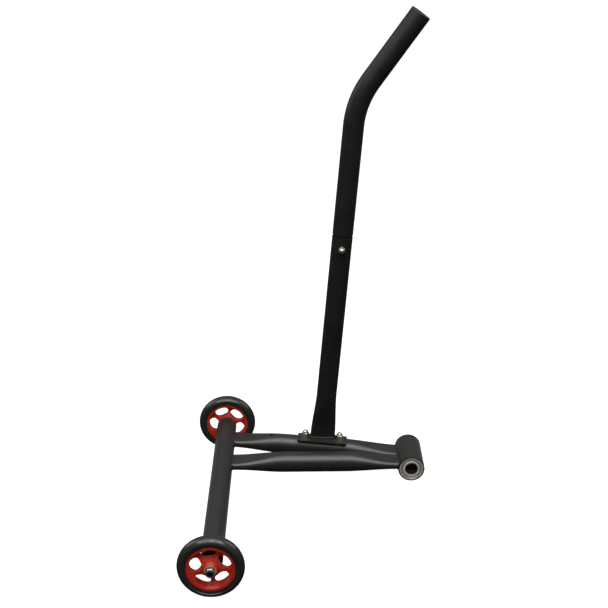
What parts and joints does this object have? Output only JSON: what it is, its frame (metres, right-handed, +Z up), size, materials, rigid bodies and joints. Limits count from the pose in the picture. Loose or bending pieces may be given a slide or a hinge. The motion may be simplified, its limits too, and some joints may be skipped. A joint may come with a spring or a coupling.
{
  "type": "wheeled pivot lever",
  "caption": "Three-point wheeled lever: cross tube on small wheels, arms to a bearing pivot sleeve, and a bent upright handle.",
  "frame": {"origin": "middle of the pivot bore, on its axis", "axes": "+Y along the pivot and wheel axles towards the inboard wheel, +X from the axle towards the pivot, +Z up when it stands on its tyres and sleeve"},
  "size_m": [0.5147, 0.6425, 0.9767],
  "materials": {
    "frame_paint": "satin dark grey powder coat",
    "dark_bolt": "black oxide",
    "zinc": "yellowish zinc plate",
    "nylon": "moulded dark blue",
    "cap_plastic": "moulded dark grey",
    "black_paint": "satin black paint",
    "post_paint": "satin black powder coat",
    "bearing_steel": "ground bearing steel",
    "spacer_steel": "turned, oiled",
    "tyre_rubber": "moulded, slightly glossy",
    "red_plastic": "moulded red",
    "seal_rubber": "moulded"
  },
  "bodies": {
    "frame": {"cross_tube": "frame_paint", "arm_outboard": "frame_paint", "arm_inboard": "frame_paint", "pivot_sleeve": "frame_paint", "pivot_outer_rings": "bearing_steel", "pivot_balls": "bearing_steel", "pivot_shields": "bearing_steel", "foot_plate": "frame_paint", "lower_post": "post_paint", "upper_handle": "post_paint", "end_cap": "cap_plastic", "plate_bolts": "zinc", "plate_nuts": "zinc", "joint_bolt": "zinc", "joint_nut": "zinc", "end_plug_outboard": "black_paint", "axle_bolt_outboard": "dark_bolt", "axle_spacer_outboard": "zinc", "hub_spacer_outboard": "zinc", "axle_rings_outboard": "zinc", "axle_washer_outboard": "zinc", "axle_nut_outboard": "zinc", "axle_nut_insert_outboard": "nylon", "end_plug_inboard": "black_paint", "axle_bolt_inboard": "dark_bolt", "axle_spacer_inboard": "zinc", "hub_spacer_inboard": "zinc", "axle_rings_inboard": "zinc", "axle_washer_inboard": "zinc", "axle_nut_inboard": "zinc", "axle_nut_insert_inboard": "nylon"},
    "wheel_outboard": {"wheel_core_outboard": "red_plastic", "tyre_outboard": "tyre_rubber", "wheel_rings_outboard": "bearing_steel", "wheel_balls_outboard": "bearing_steel", "wheel_seals_outboard": "seal_rubber"},
    "wheel_inboard": {"wheel_core_inboard": "red_plastic", "tyre_inboard": "tyre_rubber", "wheel_rings_inboard": "bearing_steel", "wheel_balls_inboard": "bearing_steel", "wheel_seals_inboard": "seal_rubber"},
    "pivot_core": {"pivot_inner_rings": "bearing_steel", "pivot_spacer": "spacer_steel"}
  },
  "joints": [
    {"name": "wheel_outboard_spin", "type": "hinge", "parent": "frame", "child": "wheel_outboard", "pos_m": [-0.39698, -0.4505, 0.03475], "axis": [0, 1, 0], "continuous": true},
    {"name": "wheel_inboard_spin", "type": "hinge", "parent": "frame", "child": "wheel_inboard", "pos_m": [-0.39698, 0.138, 0.03475], "axis": [0, 1, 0], "continuous": true},
    {"name": "pivot_spin", "type": "hinge", "parent": "frame", "child": "pivot_core", "pos_m": [0, 0, 0], "axis": [0, 1, 0], "continuous": true}
  ]
}
